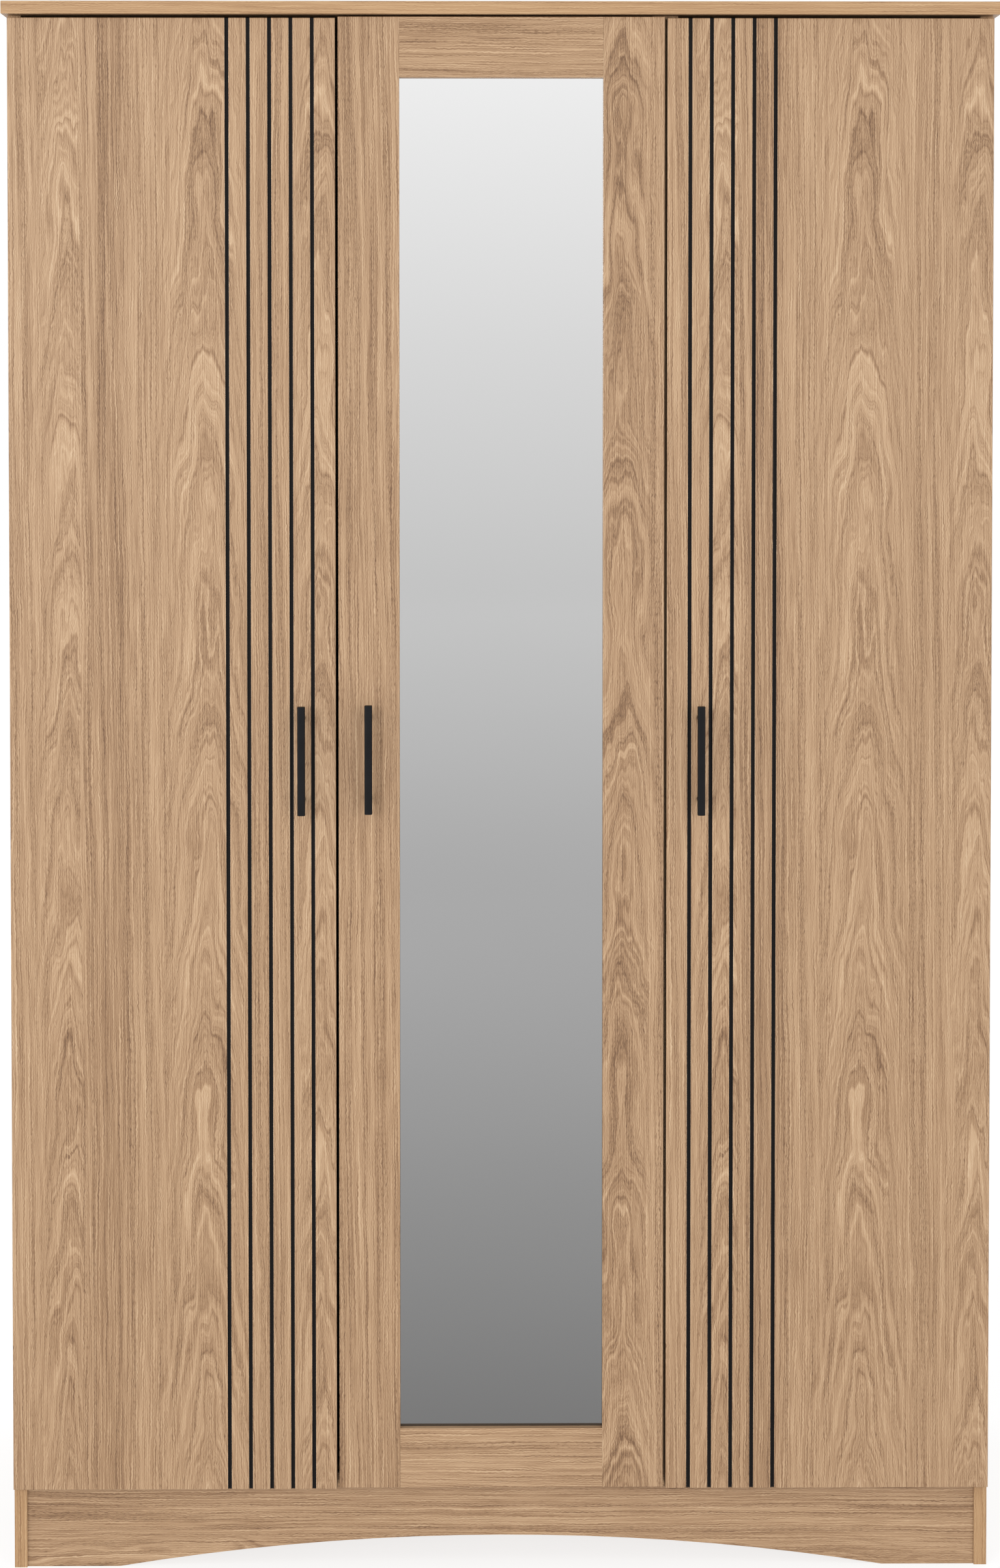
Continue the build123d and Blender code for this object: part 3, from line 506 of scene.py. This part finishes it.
# The case
PLINTH_STAVES = (Stave(WHOLE, 0.020, 0.03, 0.05, 0.02),)
SIDE_STAVES = (Stave(WHOLE, -0.12, 0.05, 0.11, 0.04), Stave(0.02, 0.15, 0.045, 0.10, 0.04))
TOP_STAVES = (Stave(WHOLE, -0.1, 0.05, 0.09, 0.04), Stave(0.03, 0.12, 0.05, 0.10, 0.04))
edge_level = oak("edge_level", "zy", "x", seed=12.0, figure=0.25, stops=EDGE_STOPS)
edge_upright = oak("edge_upright", "xy", "z", seed=13.0, figure=0.25, stops=EDGE_STOPS)
level = oak("oak_level", "yz", "x", staves=TOP_STAVES, seed=15.0)
upright = oak("oak_upright", "yx", "z", staves=SIDE_STAVES, seed=16.0)
plinth = oak("oak_plinth", "zy", "x", FACE, 0.0, PLINTH_STAVES, seed=18.0, figure=0.52, tone=-0.05)
back_foil = oak("oak_back", "xy", "z", 0.1, 0.0, SIDE_STAVES, seed=21.0, tone=0.06)
raw = hardboard()

SHELVES = [name for name in NODES if name.startswith("right_shelf_")]
UPRIGHTS = ["left_side_panel", "right_side_panel", "centre_partition", "partition_hinge_batten"]
BACKS = ["back_panel_left", "back_panel_middle", "back_panel_right"]
paint(["top_board", "bottom_panel", "hat_shelf", *SHELVES], level, (edge_level, off_axis(2)))
paint(UPRIGHTS, upright, (edge_upright, off_axis(0)))
paint(["plinth_front", "plinth_rear"], plinth)
paint(["plinth_centre_brace"], level)
paint(BACKS, back_foil, (raw, looks_back))
paint(["mirror_backing"], raw)

# Fittings
nickel = metal("nickel", srgb(205, 203, 198), 0.20, 0.3)
zinc = metal("zinc", srgb(178, 178, 180), 0.32, 0.5)
chrome = metal("chrome", srgb(225, 226, 228), 0.06)
cam_zinc = metal("cam_zinc", srgb(150, 150, 152), 0.42, 0.6)
socket_zinc = metal("socket_zinc", srgb(196, 196, 198), 0.26, 0.3)
beech = plain("beech", srgb(196, 158, 112), srgb(222, 190, 146), 0.6, 300.0)
white_plastic = plain("white_plastic", srgb(222, 220, 212), srgb(236, 234, 228), 0.4, 900.0)
clear_rubber = plain("clear_rubber", srgb(206, 206, 202), srgb(228, 228, 224), 0.3, 700.0)

paint(["left_handle", "middle_handle", "right_handle"], satin_black())
for side in ("left", "middle", "right"):
    paint([f"{side}_hinge_cups", f"{side}_hinge_links", f"{side}_hinge_pins"], nickel)
    paint([f"{side}_cup_screws", f"{side}_handle_screws"], zinc)
paint(["hinge_arms", "hinge_mounting_plates", "hinge_arm_screws"], nickel)
paint(["wood_screws", "wall_brackets", "back_panel_nails", "cam_bolts", "shelf_pins"], zinc)
paint(["hanging_rail"], chrome)
paint(["rail_end_sockets"], socket_zinc)
paint(["cam_locks"], cam_zinc)
paint(["wooden_dowels", "middle_door_dowels"], beech)
paint(["back_panel_joiner"], white_plastic)
paint(["door_bumpers"], clear_rubber)


# The studio

FLOOR_HALF = 14.0
FLOOR_GLOW = 0.78
LENS = 66.4
FRAME_SHIFT = -0.2197
CAMERA_SIDE = -0.027
CAMERA_AWAY = 3.4
CAMERA_HEIGHT = 1.44
LOOK_DOWN = math.radians(1.57)
TURN_RIGHT = math.radians(0.43)


def floor():
    """A large pale floor under the object, which glows a little."""
    half = FLOOR_HALF
    corners = [(-half, -half, 0), (half, -half, 0), (half, half, 0), (-half, half, 0)]
    mesh = bpy.data.meshes.new("floor")
    mesh.from_pydata(corners, [], [(0, 1, 2, 3)])
    made = bpy.data.objects.new("floor", mesh)
    made.location.z = cad_low.z
    bpy.context.scene.collection.objects.link(made)
    s = Shader("floor")
    mesh.materials.append(s.surface(
        Base_Color=s.ramp(s.specks(1.5, 2.0), ((0.2, grey(124)), (0.8, grey(130)))),
        Roughness=0.7,
        Specular_IOR_Level=0.2,
        Emission_Color=(1.0, 1.0, 1.0, 1.0),
        Emission_Strength=FLOOR_GLOW,
    ))


def softbox(name, place, size, watts):
    """A soft rectangular light that faces the middle of the object."""
    data = bpy.data.lights.new(name, "AREA")
    data.shape = "RECTANGLE"
    data.size, data.size_y = size
    data.energy = watts
    made = bpy.data.objects.new(name, data)
    made.location = place
    aim = (cad_low + cad_high) / 2 - Vector(place)
    made.rotation_euler = aim.to_track_quat("-Z", "Y").to_euler()
    bpy.context.scene.collection.objects.link(made)


def studio():
    """An even white world, two keys in front and a narrow light on the left edges."""
    world = bpy.data.worlds.new("studio")
    bpy.context.scene.world = world
    world.use_nodes = True
    background = world.node_tree.nodes["Background"]
    background.inputs["Color"].default_value = (1.0, 1.0, 1.0, 1.0)
    background.inputs["Strength"].default_value = 1.0
    softbox("left key", place=(-1.9, -4.2, 1.7), size=(0.7, 1.2), watts=40.0)
    softbox("right key", place=(2.1, -4.2, 1.7), size=(0.7, 1.2), watts=28.0)
    softbox("edge light", place=(-3.4, -1.7, 1.5), size=(0.3, 1.8), watts=14.0)


def camera():
    """A long lens in front of the doors, above the middle, with the frame shifted down."""
    data = bpy.data.cameras.new("camera")
    data.sensor_width = 36.0
    data.lens = LENS
    data.shift_y = FRAME_SHIFT
    made = bpy.data.objects.new("camera", data)
    made.location = (CAMERA_SIDE, FACE - CAMERA_AWAY, CAMERA_HEIGHT)
    made.rotation_euler = Euler((math.pi / 2 - LOOK_DOWN, 0.0, -TURN_RIGHT))
    bpy.context.scene.collection.objects.link(made)
    bpy.context.scene.camera = made


floor()
studio()
camera()
bpy.context.scene.view_settings.view_transform = "Standard"
